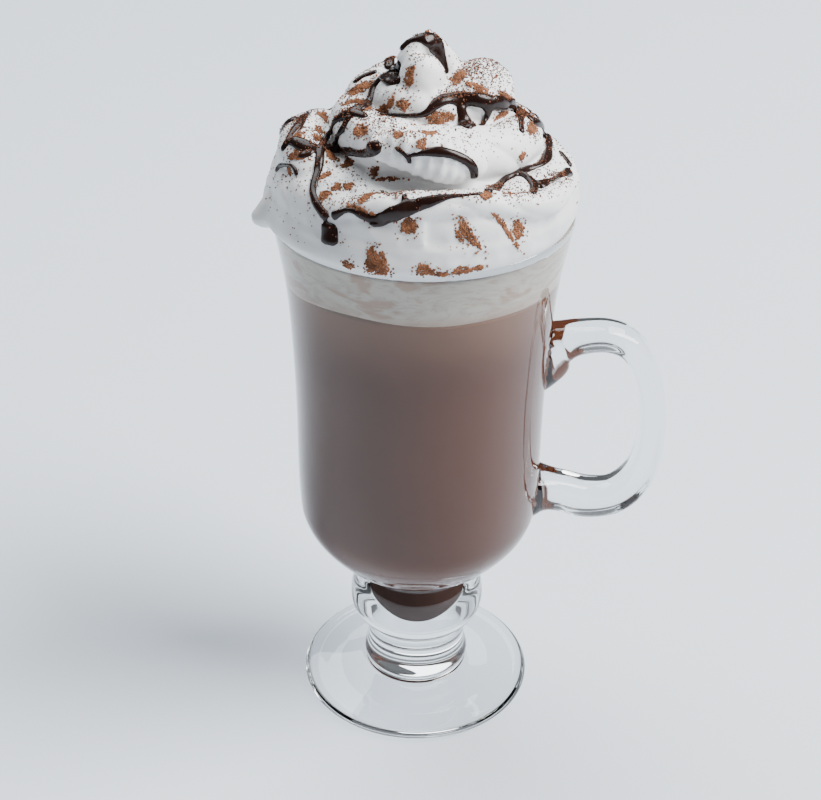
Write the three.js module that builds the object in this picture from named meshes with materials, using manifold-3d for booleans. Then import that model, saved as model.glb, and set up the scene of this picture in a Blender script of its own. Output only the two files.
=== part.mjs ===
// A footed glass mug of hot chocolate with whipped cream, chocolate sauce and cocoa.
// Millimetres, +Z up, +X towards the handle. The origin is the middle of the foot's underside.

import * as THREE from "three";
import { mergeVertices } from "three/addons/utils/BufferGeometryUtils.js";
import Module from "manifold-3d";

const wasm = await Module();
wasm.setup();

const GAP = 0.3; // between pieces that touch
const ROUND = 36; // flat sides that make up the round of the glass

// Glass: the foot, the stem with a ring and a knob, the bowl and its inside, which goes down into
// the knob, all as radius and height
const RIM_HEIGHT = 148;
const RIM_RADIUS = 37.8;
const LIP_RADIUS = 1.2; // of the rounded lip
const FOOT_RADIUS = 32.3;
const FOOT_EDGE = 1.7; // radius of the foot's rounded edge
const FOOT_TOP = [[30.6, 3.4], [23.5, 4.6], [14.8, 6.4]];
const STEM = [
  [14.3, 6.9], [14.8, 9.4], [13.8, 14.5], [14.2, 20.6], [17.5, 24.6], [18.6, 27.6], [18.5, 32],
  [17.3, 36.6], [15.8, 39.6],
];
const BOWL = [
  [16.4, 41], [20.4, 43.8], [25.4, 48.4], [31.2, 57], [32.6, 68], [32.9, 98], [34.4, 126],
  [37.8, 146.8],
];
const INSIDE = [
  [35.4, 146.8], [33.1, 136], [31.9, 126], [30.8, 112], [30.4, 98], [30.1, 68], [28.4, 58],
  [22.8, 50], [16.6, 45], [10.8, 41.2], [9.4, 37.6], [9.6, 33], [8.6, 28.8], [4.8, 24.6], [0, 23],
];

// Handle: a strap that thickens into the bowl, as distance from the axis, height and thickness
const HANDLE = [
  [28.6, 106.5, 21], [33, 107.8, 15.6], [36.4, 110.2, 10.4], [41.5, 111.9, 7.7], [49, 112.2, 7],
  [55.3, 109, 7.1], [59.7, 100.9, 7.1], [62, 89.5, 7], [62.1, 79, 7.1], [59.8, 69.6, 8],
  [54, 63.2, 9.3], [46.5, 62, 10.4], [39.5, 63.7, 10.2], [34, 64.6, 11], [29.5, 64.6, 14],
];
const STRAP_WIDTH = 10;
const STRAP_SQUARENESS = 3.6; // 2 would be an oval section, and more is a flatter one
const STRAP_SIDES = 12;
const STRAP_STEPS = 28;

// Levels inside the glass
const DRINK_LEVEL = 132;
const MELT_LEVEL = 144.6; // top of the melted cream, under the whipped cream
// Waves of the drink's level at the glass: how many go round, their height and their turn in degrees
const WAVES = [[3, 0.66, 57], [5, 0.44, 0]];

// Whipped cream: a rope that winds up round a core, at the front and back of every turn its
// outermost radius, the height of its middle and its half width
const COILS = [
  [38.4, 155.4, 8.3], [37.6, 154.8, 8.3], [37.6, 155.6, 8.2], [31.4, 161.6, 7], [25.6, 169.4, 6.6],
  [20, 169.6, 6.4], [15, 176, 5.8], [10.5, 175.6, 5.4], [6, 178, 4.5],
];
const COIL_STEPS = 18; // steps to a turn
const COIL_SIDES = 10;
const LOBE_STEPS = 6;
const LOBE_SIDES = 8;
const CORE = [[37.3, 146.6], [38.5, 148.6], [38.6, 151.5], [36.5, 156], [18.5, 168], [0, 177]];
const SPILL = 2.4; // how far the core's edge hangs out past the rim at its widest
const SPILL_ANGLE = 192; // degrees, where it does
const SPILL_DEPTH = 7; // how far above and below the rim
const CLEAR_DEPTH = 14; // how far below the rim the cream keeps clear of the glass

// Lobes of cream, each as places along it with the half width there
const LOBES = {
  left: [[-24, -15, 160, 6.2], [-28.4, -4, 162.8, 7.2], [-27, 9, 162, 6.6], [-18, 19, 160, 5]],
  mound: [[3, -9, 175, 5.5], [11.4, -4, 177, 7.4], [13.4, 4, 176.6, 7.4], [6, 11, 174.6, 6]],
  back: [[-15, 3, 171.5, 6], [-11.5, 7.5, 173.5, 7], [-4, 10, 174.8, 7.4], [4, 9, 175, 7]],
  fold: [
    [-12, -24, 173.6, 2.4], [-5, -26, 173, 4.4], [3, -26.6, 171.5, 5.2],
    [9, -25.6, 169.8, 4.6], [13, -23.6, 168.6, 2.4],
  ],
  flap: [[-30, 1, 152, 5], [-36.5, 1, 149.6, 3.6], [-40.5, 1, 147.6, 0.8]],
  ledge: [
    [-25, -25, 156.4, 1.6], [-17, -30.2, 159.8, 3], [-6, -33.4, 162.4, 3.3], [5, -33.8, 163.2, 3.2],
    [13, -31.8, 163.2, 3], [21, -28.4, 160.4, 3.2], [28, -24, 159.6, 3.4], [33.6, -15.2, 161, 2.4],
  ],
  peak: [[6.5, 4, 176, 5.2], [4.2, 3.6, 182.4, 4], [2, 2.2, 188, 2.5], [-0.2, 0.8, 192.2, 0.9]],
  hood: [
    [2.2, 1.6, 189, 2], [-1.2, -0.4, 189.2, 2.7], [-4.2, -1.8, 187.4, 2.5],
    [-6.9, -2.4, 185.6, 1.2],
  ],
  head: [
    [-0.7, -3.4, 187, 3.4], [-0.9, -5.2, 184, 5.4], [0.4, -7.2, 178.6, 4.6],
    [1.8, -9, 173.8, 2.4],
  ],
};

// Drizzled chocolate sauce: the width of each line, and its way over the cream as the angle round
// the axis and the angle of climb, both in degrees from the middle of the cream
const CREAM_MIDDLE = new THREE.Vector3(0, 0, 152);
const DRIZZLE = [
  { width: 2.2, way: [[150, 70], [-178, 60], [-155, 50], [-162, 38], [-158, 31]] },
  { width: 2.2, way: [[-158, 31], [-148, 27], [-141, 20], [-134, 12], [-125, 9]] },
  { width: 3.8, way: [[-126, 10], [-124, 4], [-123, -1]] },
  { width: 2.2, way: [[180, 31], [-166, 27], [-153, 29]] },
  { width: 2.6, way: [[-153, 29], [-140, 34], [-123, 37], [-110, 40], [-98, 36]] },
  { width: 2, way: [[-98, 36], [-86, 37], [-77, 36], [-70, 31], [-70, 27]] },
  { width: 2.4, way: [[-139, 60], [-103, 60], [-85, 63], [-60, 64], [-34, 57], [-16, 51]] },
  { width: 2.4, way: [[-54, 63], [-58, 57], [-57, 49]] },
  { width: 2, way: [[-16, 51], [0, 42], [8, 32], [7, 20], [-13, 21], [-29, 24], [-49, 23], [-64, 21]] },
  { width: 2.8, way: [[-64, 21], [-81, 20], [-97, 17], [-107, 13], [-119, 13], [-125, 10]] },
  { width: 3, way: [[-107, 14], [-106, 8]] },
  { width: 2, way: [[-24, 22], [-35, 20], [-34, 17], [-20, 16], [-2, 12]] },
  { width: 2, way: [[150, 70], [110, 55], [85, 40], [60, 33], [30, 30], [8, 32]] },
  { width: 2, way: [[110, 55], [120, 35], [140, 22], [168, 18], [180, 31]] },
  { width: 2.4, way: [[85, 40], [80, 22], [74, 10]] },
  { width: 2.2, way: [[-165, 76], [-150, 80], [-120, 83], [-60, 84], [-40, 80], [-25, 75]] },
];
const DRIZZLE_HEIGHT = 1.1; // above the cream
const DRIZZLE_STEP = 3.6; // length of a flat stretch
const DRIZZLE_SIDES = 5;
const DRIZZLE_END = 0.4; // share of the width that is left at the ends

// Turns points of radius and height into a solid of revolution about Z
function turned(points) {
  const outline = points.map(([radius, height]) => new THREE.Vector2(radius, height));
  return new THREE.LatheGeometry(outline, ROUND).rotateX(Math.PI / 2);
}

// A smooth line through points of radius and height, each stretch cut in as many steps
function smooth(points, steps) {
  const line = new THREE.SplineCurve(points.map(([radius, height]) => new THREE.Vector2(radius, height)));
  return line.getPoints((points.length - 1) * steps).map((point) => [point.x, point.y]);
}

// A round edge as points, from one angle to another in degrees
function arc(radius, height, size, from, to, steps) {
  const points = [];
  for (let step = 0; step <= steps; step += 1) {
    const angle = THREE.MathUtils.degToRad(THREE.MathUtils.lerp(from, to, step / steps));
    points.push([radius + size * Math.cos(angle), height + size * Math.sin(angle)]);
  }
  return points;
}

// A closed geometry as a solid for joining and cutting
function solid(geometry) {
  const plain = geometry.clone();
  plain.deleteAttribute("normal");
  plain.deleteAttribute("uv");
  const merged = mergeVertices(plain, 1e-3);
  const corners = merged.index.array;
  const triangles = [];
  for (let first = 0; first < corners.length; first += 3) {
    const [a, b, c] = corners.slice(first, first + 3);
    if (a !== b && b !== c && c !== a) triangles.push(a, b, c);
  }
  return new wasm.Manifold(
    new wasm.Mesh({
      numProp: 3,
      vertProperties: new Float32Array(merged.attributes.position.array),
      triVerts: new Uint32Array(triangles),
    }),
  );
}

// A solid back as a geometry
function geometryOf(manifold) {
  const mesh = manifold.getMesh();
  const geometry = new THREE.BufferGeometry();
  geometry.setAttribute("position", new THREE.BufferAttribute(mesh.vertProperties, 3));
  geometry.setIndex(new THREE.BufferAttribute(mesh.triVerts, 1));
  geometry.computeVertexNormals();
  return geometry;
}

// A closed strand through places, each with its middle, two directions across it and two half
// widths, with an oval section that its squareness can flatten
function strand(places, sides, squareness = 2) {
  const steps = places.length - 1;
  const geometry = new THREE.CylinderGeometry(1, 1, 1, sides, steps);
  const position = geometry.attributes.position;
  for (let index = 0; index < position.count; index += 1) {
    const place = places[Math.round((0.5 - position.getY(index)) * steps)];
    const [x, z] = [position.getX(index), position.getZ(index)];
    const size = (Math.abs(x) ** squareness + Math.abs(z) ** squareness) ** (1 / squareness);
    const push = size > 0 ? Math.hypot(x, z) / size : 0;
    const point = place.middle
      .clone()
      .addScaledVector(place.across, x * push * place.halfWidth)
      .addScaledVector(place.up, z * push * place.halfHeight);
    position.setXYZ(index, point.x, point.y, point.z);
  }
  return geometry;
}

// Glass
const outside = [
  [0, 0],
  ...arc(FOOT_RADIUS - FOOT_EDGE, FOOT_EDGE, FOOT_EDGE, -90, 60, 4),
  ...FOOT_TOP,
  ...STEM,
  ...smooth(BOWL, 2),
];
const lip = arc(RIM_RADIUS - LIP_RADIUS, RIM_HEIGHT - LIP_RADIUS, LIP_RADIUS, 30, 150, 4);

function handle() {
  const line = new THREE.CatmullRomCurve3(HANDLE.map(([x, z]) => new THREE.Vector3(x, 0, z)));
  const thicknesses = new THREE.SplineCurve(HANDLE.map((point) => new THREE.Vector2(point[2], 0)));
  const sideways = new THREE.Vector3(0, 1, 0);
  const places = [];
  for (let step = 0; step <= STRAP_STEPS; step += 1) {
    const share = step / STRAP_STEPS;
    places.push({
      middle: line.getPoint(share),
      across: sideways,
      up: line.getTangent(share).cross(sideways),
      halfWidth: STRAP_WIDTH / 2,
      halfHeight: thicknesses.getPoint(share).x / 2,
    });
  }
  return strand(places, STRAP_SIDES, STRAP_SQUARENESS);
}

const hollow = turned([...INSIDE.toReversed(), [0, RIM_HEIGHT]]);
const mugGlass = solid(turned([...outside, ...lip, ...INSIDE])).add(
  solid(handle()).subtract(solid(hollow)),
);

// The inner radius of the glass at a height
function innerRadius(height) {
  for (let index = 1; index < INSIDE.length; index += 1) {
    const [radiusAbove, above] = INSIDE[index - 1];
    const [radiusBelow, below] = INSIDE[index];
    if (height >= below) {
      return THREE.MathUtils.mapLinear(height, below, above, radiusBelow, radiusAbove);
    }
  }
  return 0;
}

// The wandering of the drink's level with the angle round the glass
function wave(angle) {
  return WAVES.reduce(
    (sum, [count, height, turn]) => sum + height * Math.sin(count * angle + THREE.MathUtils.degToRad(turn)),
    0,
  );
}

// What fills the glass between two heights, with a bottom or a top that wanders
function filling(bottom, top, wavyEdge) {
  const wall = INSIDE
    .filter(([, height]) => height > bottom && height < top)
    .map(([radius, height]) => [Math.max(radius - GAP, 0), height])
    .reverse();
  const floorRadius = Math.max(innerRadius(bottom) - GAP, 0);
  const levelRadius = innerRadius(top) - GAP;
  const floor = [[0, bottom], [floorRadius / 2, bottom]];
  const level = [[levelRadius / 2, top], [0, top]];
  const geometry = turned([...floor, [floorRadius, bottom], ...wall, [levelRadius, top], ...level]);
  const position = geometry.attributes.position;
  for (let index = 0; index < position.count; index += 1) {
    const [x, y, z] = [position.getX(index), position.getY(index), position.getZ(index)];
    if (Math.abs(z - wavyEdge) < 0.01) {
      position.setZ(index, z + wave(Math.atan2(y, x)) * (Math.hypot(x, y) / innerRadius(wavyEdge)));
    }
  }
  return geometry;
}

// The rope of cream that winds clockwise up round the core, seen from above
function swirl() {
  const turns = (COILS.length - 1) / 2;
  const sizes = new THREE.CatmullRomCurve3(COILS.map((coil) => new THREE.Vector3(...coil)));
  const places = [];
  for (let step = 0; step <= turns * COIL_STEPS; step += 1) {
    const turn = step / COIL_STEPS;
    const angle = -Math.PI / 2 - 2 * Math.PI * turn;
    const { x: outermost, y: height, z: halfWidth } = sizes.getPoint(turn / turns);
    const outward = new THREE.Vector3(Math.cos(angle), Math.sin(angle), 0);
    places.push({
      middle: outward.clone().multiplyScalar(outermost - halfWidth).setZ(height),
      across: outward,
      up: new THREE.Vector3(0, 0, 1),
      halfWidth,
      halfHeight: halfWidth,
    });
  }
  return strand(places, COIL_SIDES);
}

// A tapered lobe of cream along a smooth line, given as places with the half width there
function lobe(points) {
  const line = new THREE.CatmullRomCurve3(points.map(([x, y, z]) => new THREE.Vector3(x, y, z)));
  const widths = new THREE.CatmullRomCurve3(points.map((point) => new THREE.Vector3(point[3], 0, 0)));
  const places = [];
  for (let step = 0; step <= LOBE_STEPS; step += 1) {
    const along = line.getTangent(step / LOBE_STEPS);
    const across = new THREE.Vector3(along.y, -along.x, 0.001).normalize();
    const halfWidth = widths.getPoint(step / LOBE_STEPS).x;
    places.push({
      middle: line.getPoint(step / LOBE_STEPS),
      across,
      up: along.clone().cross(across),
      halfWidth,
      halfHeight: halfWidth,
    });
  }
  return strand(places, LOBE_SIDES);
}

// Whipped cream: the core, which starts inside the rim and spills over it on one side
function core() {
  const plug = INSIDE.filter(([, height]) => height > MELT_LEVEL + GAP).reverse();
  const bottom = MELT_LEVEL + GAP;
  const geometry = turned([[0, bottom], [innerRadius(bottom), bottom], ...plug, ...CORE]);
  const position = geometry.attributes.position;
  for (let index = 0; index < position.count; index += 1) {
    const [x, y, z] = [position.getX(index), position.getY(index), position.getZ(index)];
    const nearRim = Math.max(0, 1 - Math.abs(z - RIM_HEIGHT) / SPILL_DEPTH);
    const turn = Math.cos(Math.atan2(y, x) - THREE.MathUtils.degToRad(SPILL_ANGLE));
    const share = z < CORE[0][1] ? 0 : (nearRim * (turn * SPILL)) / Math.hypot(x, y);
    position.setXY(index, x * (1 + share), y * (1 + share));
  }
  return geometry;
}

// The glass wall near the rim with a gap all round it, which the cream keeps clear of
function clearance() {
  const nearRim = ([, height]) => height > RIM_HEIGHT - CLEAR_DEPTH;
  const outer = outside.filter(nearRim).map(([radius, height]) => [radius + GAP, height]);
  const round = arc(RIM_RADIUS - LIP_RADIUS, RIM_HEIGHT - LIP_RADIUS, LIP_RADIUS + GAP, 15, 165, 4);
  const inner = INSIDE.filter(nearRim).map(([radius, height]) => [radius - GAP, height]);
  return turned([...outer, ...round, ...inner, outer[0]]);
}

// A line of sauce laid over the cream
function drizzle(creamMesh, { width, way }) {
  const directions = way.map(([turn, climb]) =>
    new THREE.Vector3().setFromSphericalCoords(
      1,
      THREE.MathUtils.degToRad(90 - climb),
      THREE.MathUtils.degToRad(turn),
    ),
  );
  // Spherical coordinates are about Y with their angle from Z, so Z, X, Y become X, Y, Z
  const line = new THREE.CatmullRomCurve3(directions.map(({ x, y, z }) => new THREE.Vector3(z, x, y)));
  const reach = 2 * RIM_RADIUS;
  const caster = new THREE.Raycaster();
  const landing = (share) => {
    const outward = line.getPoint(share).normalize();
    caster.set(CREAM_MIDDLE.clone().addScaledVector(outward, reach), outward.clone().negate());
    return { outward, point: caster.intersectObject(creamMesh)[0].point };
  };
  const marks = way.map((_, index) => landing(index / (way.length - 1)).point);
  const length = marks.slice(1).reduce((sum, mark, index) => sum + mark.distanceTo(marks[index]), 0);
  const steps = Math.round(length / DRIZZLE_STEP);
  const landings = [];
  for (let step = 0; step <= steps; step += 1) landings.push(landing(step / steps));
  const places = landings.map(({ outward, point }, step) => {
    const before = landings[Math.max(step - 1, 0)].point;
    const after = landings[Math.min(step + 1, steps)].point;
    const along = after.clone().sub(before).normalize();
    const across = outward.clone().cross(along).normalize();
    const taper = step === 0 || step === steps ? DRIZZLE_END : 1;
    return {
      middle: point,
      across,
      up: along.clone().cross(across),
      halfWidth: (width / 2) * taper,
      halfHeight: DRIZZLE_HEIGHT * taper,
    };
  });
  return strand(places, DRIZZLE_SIDES);
}

// The largest body of a solid, without any scrap that a cut left beside it
function wholeOf(manifold) {
  return manifold.decompose().reduce((most, body) => (body.volume() > most.volume() ? body : most));
}

function joined(geometries) {
  return geometries.map(solid).reduce((sum, next) => sum.add(next));
}

const bareCream = joined([core(), swirl(), ...Object.values(LOBES).map(lobe)]);
const bareMesh = new THREE.Mesh(geometryOf(bareCream));
const sauce = joined(DRIZZLE.map((line) => drizzle(bareMesh, line)));
const cream = wholeOf(bareCream.add(sauce).subtract(solid(clearance())));

function piece(name, geometry, color, roughness) {
  const material = new THREE.MeshStandardMaterial({ color, roughness, metalness: 0 });
  const mesh = new THREE.Mesh(geometry, material);
  mesh.name = name;
  return mesh;
}

const hotChocolate = new THREE.Group();
hotChocolate.add(
  piece("glass_mug", geometryOf(mugGlass), "#dfe6ea", 0.05),
  piece("hot_chocolate", filling(INSIDE.at(-1)[1] + GAP, DRINK_LEVEL, DRINK_LEVEL), "#75655d", 0.3),
  piece("melted_cream", filling(DRINK_LEVEL + GAP, MELT_LEVEL, DRINK_LEVEL + GAP), "#aaa59f", 0.4),
  piece("whipped_cream", geometryOf(cream), "#eef0f2", 0.55),
);

export default hotChocolate;
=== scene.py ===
"""Looks of a footed glass mug of hot chocolate with whipped cream, chocolate sauce and cocoa."""

import math
import random

import bmesh
import bpy
from mathutils import Matrix, Vector, noise
from mathutils.bvhtree import BVHTree


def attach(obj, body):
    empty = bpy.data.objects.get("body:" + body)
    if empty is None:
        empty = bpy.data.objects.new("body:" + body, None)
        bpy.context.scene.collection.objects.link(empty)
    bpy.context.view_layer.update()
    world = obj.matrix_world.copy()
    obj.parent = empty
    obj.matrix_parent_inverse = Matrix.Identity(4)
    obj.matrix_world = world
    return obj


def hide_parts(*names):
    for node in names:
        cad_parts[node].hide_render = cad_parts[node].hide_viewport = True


bl_info = {
    "name": "Hot Chocolate Looks",
    "version": (1, 0, 0),
    "blender": (4, 5, 0),
    "location": "3D View > Sidebar > Hot Chocolate",
    "description": "Glass, drink, whipped cream, chocolate sauce and cocoa round the packed model",
    "category": "Add Mesh",
}

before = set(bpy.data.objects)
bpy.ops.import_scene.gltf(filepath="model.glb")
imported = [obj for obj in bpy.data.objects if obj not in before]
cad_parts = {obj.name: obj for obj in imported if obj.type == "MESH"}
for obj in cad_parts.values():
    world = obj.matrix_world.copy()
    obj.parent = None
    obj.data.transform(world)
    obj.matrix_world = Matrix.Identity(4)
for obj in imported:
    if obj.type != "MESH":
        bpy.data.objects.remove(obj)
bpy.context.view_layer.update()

MM = 0.001
UP = Vector((0, 0, 1))

# Glass, as radius and height in millimetres
RIM_HEIGHT = 148
RIM_RADIUS = 37.8
LIP_RADIUS = 1.2
LIP_ARC = (30, 150)  # in degrees, from the outer wall to the inner one
LIP_STEPS = 8
FOOT_UNDER = [(0, 1.6), (12, 1.5), (22, 1), (27, 0.2), (28.6, 0), (30.3, 0.2)]
FOOT_EDGE = [(31.6, 0.9), (32.3, 1.9), (31.9, 2.9)]
FOOT_TOP = [(30.6, 3.4), (23.5, 4.6), (14.8, 6.4)]
STEM = [
    (14.3, 6.9), (14.8, 9.4), (13.8, 14.5), (14.2, 20.6), (17.5, 24.6), (18.6, 27.6), (18.5, 32),
    (17.3, 36.6), (15.8, 39.6),
]
BOWL = [
    (16.4, 41), (20.4, 43.8), (25.4, 48.4), (31.2, 57), (32.6, 68), (32.9, 98), (34.4, 126),
    (37.8, 146.8),
]
INSIDE = [
    (35.4, 146.8), (33.1, 136), (31.9, 126), (30.8, 112), (30.4, 98), (30.1, 68), (28.4, 58),
    (22.8, 50), (16.6, 45), (10.8, 41.2), (9.4, 37.6), (9.6, 33), (8.6, 28.8), (4.8, 24.6), (0, 23),
]
GLASS_STEPS = 6  # to each stretch between two points
GLASS_ROUND = 128
THROUGH_TINT = (0.93, 0.945, 0.955)  # what the glass leaves of the light that falls through it

# Handle, as distance from the axis, height and thickness
HANDLE = [
    (28.6, 106.5, 21), (33, 107.8, 15.6), (36.4, 110.2, 10.4), (41.5, 111.9, 7.7), (49, 112.2, 7),
    (55.3, 109, 7.1), (59.7, 100.9, 7.1), (62, 89.5, 7), (62.1, 79, 7.1), (59.8, 69.6, 8),
    (54, 63.2, 9.3), (46.5, 62, 10.4), (39.5, 63.7, 10.2), (34, 64.6, 11), (29.5, 64.6, 14),
]
STRAP_WIDTH = 10
STRAP_FLARE = 3  # how much wider the strap is where it meets the bowl
FLARE_FROM = 33.8  # distance from the axis where the flare is at its full width
FLARE_LENGTH = 5
FLARE_LIMIT = 1.4
STRAP_SQUARENESS = 3.6
STRAP_STEPS = 6  # to each stretch between two points
STRAP_SIDES = 32
HOLLOW_SPREAD = 1.001  # the cutter is this much wider than the hollow, to clear its wall

# Levels inside the glass
INTO_WALL = 0.12  # how far the drink and the cream reach into the wall
DRINK_LEVEL = 132
MELT_GAP = 0.05  # between the drink and the melted cream
MELT_LEVEL = 144.9
LEVEL_FOUND = 0.01  # how near to its level a place of the wavy surface is
WAVES = [(3, 0.66, 57), (5, 0.44, 0), (2, 0.5, 200)]  # count, height and turn in degrees

# Heights in metres between which the drink and the creams change colour
# painted shade: the drink down in the knob turns darker below these heights
WELL_SHADE_EDGE = (0.04, 0.0445)
# painted light: the drink is made paler below these heights, low in the bowl
DRINK_LIT_LOW = (0.048, 0.064)
DRINK_PALE = (0.112, 0.134)
MELT_MARBLED = (0.1305, 0.136)
# painted shade: the cream is made greyer below these heights
CREAM_SHADED_LOW = (0.152, 0.17)
CREAM_DUSTED = (0.152, 0.168)

# Whipped cream: outermost radius, height and half width at the front and back of every turn
COILS = [
    (38.4, 155.4, 8.3), (37.6, 154.8, 8.3), (37.6, 155.6, 8.2), (31.4, 161.6, 7), (25.6, 169.4, 6.6),
    (20, 169.6, 6.4), (15, 176, 5.8), (10.5, 175.6, 5.4), (6, 178, 4.5),
]
COIL_STEPS = 20  # to each half turn
COIL_SIDES = 28
CREAM_SMOOTHING = 3  # passes over the joins between its folds
CREAM_FOOT = 147.5  # the surface is shaped only above this height
FADE_IN = 3  # height over which the shaping sets in
CORE = [(37.3, 146.6), (38.5, 148.6), (38.6, 151.5), (36.5, 156), (18.5, 168), (0, 177)]
CORE_STEPS = 4  # to each stretch between two points
CORE_ROUND = 96
SPILL = 1.4  # how far the core spills over the rim
SPILL_ANGLE = 192
SPILL_DEPTH = 7
COCOA_STAIN = (0.62, 0.42, 0.3)  # the cream's colour where fine cocoa has soaked in

# Creases that the nozzle leaves: they start faint, are full in the middle and fade at the peak
CREASES_FROM, CREASES_RISE, FAINTEST_LOW = 152, 12, 0.25
CREASES_TO, CREASES_FALL, FAINTEST_HIGH = 184, 8, 0.1
CREASE_TURNS = 6
CREASE_CLIMB = 420  # radians to a metre of height
CREASE_WANDER = 2.5

# Lobes of cream, as places along each with the half width there
LOBES = {
    "left": [(-24, -15, 160, 6.2), (-28.4, -4, 162.8, 7.2), (-27, 9, 162, 6.6), (-18, 19, 160, 5)],
    "mound": [(3, -9, 175, 5.5), (11.4, -4, 177, 7.4), (13.4, 4, 176.6, 7.4), (6, 11, 174.6, 6)],
    "back": [(-15, 3, 171.5, 6), (-11.5, 7.5, 173.5, 7), (-4, 10, 174.8, 7.4), (4, 9, 175, 7)],
    "fold": [
        (-12, -24, 173.6, 2.4), (-5, -26, 173, 4.4), (3, -26.6, 171.5, 5.2),
        (9, -25.6, 169.8, 4.6), (13, -23.6, 168.6, 2.4),
    ],
    "flap": [
        (-28, -6, 153, 7), (-34.6, -8, 150.6, 5.2), (-38.8, -9, 148.8, 3.2),
        (-41.6, -9.6, 148.4, 1.2),
    ],
    "ledge": [
        (-25, -25, 156.4, 1.6), (-17, -30.2, 159.8, 3), (-6, -33.4, 162.4, 3.3),
        (5, -33.8, 163.2, 3.2), (13, -31.8, 163.2, 3), (21, -28.4, 160.4, 3.2),
        (28, -24, 159.6, 3.4), (33.6, -15.2, 161, 2.4),
    ],
    "peak": [(6.5, 4, 176, 5.2), (4.2, 3.6, 182.4, 4), (2, 2.2, 188, 2.5), (-0.2, 0.8, 192.2, 0.9)],
    "hood": [
        (2.2, 1.6, 189, 2), (-1.2, -0.4, 189.2, 2.7), (-4.2, -1.8, 187.4, 2.5),
        (-6.9, -2.4, 185.6, 1.2),
    ],
    "head": [
        (-0.7, -3.4, 187, 3.4), (-0.9, -5.2, 184, 5.4), (0.4, -7.2, 178.6, 4.6),
        (1.8, -9, 173.8, 2.4),
    ],
}
LOBE_STEPS = 18  # to each stretch between two points
LOBE_SIDES = 24
RIBS = {"fold": 0.07, "mound": 0.02}  # depth of a rib as a share of the half width
RIB_STEPS = 6  # to each rib

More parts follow.
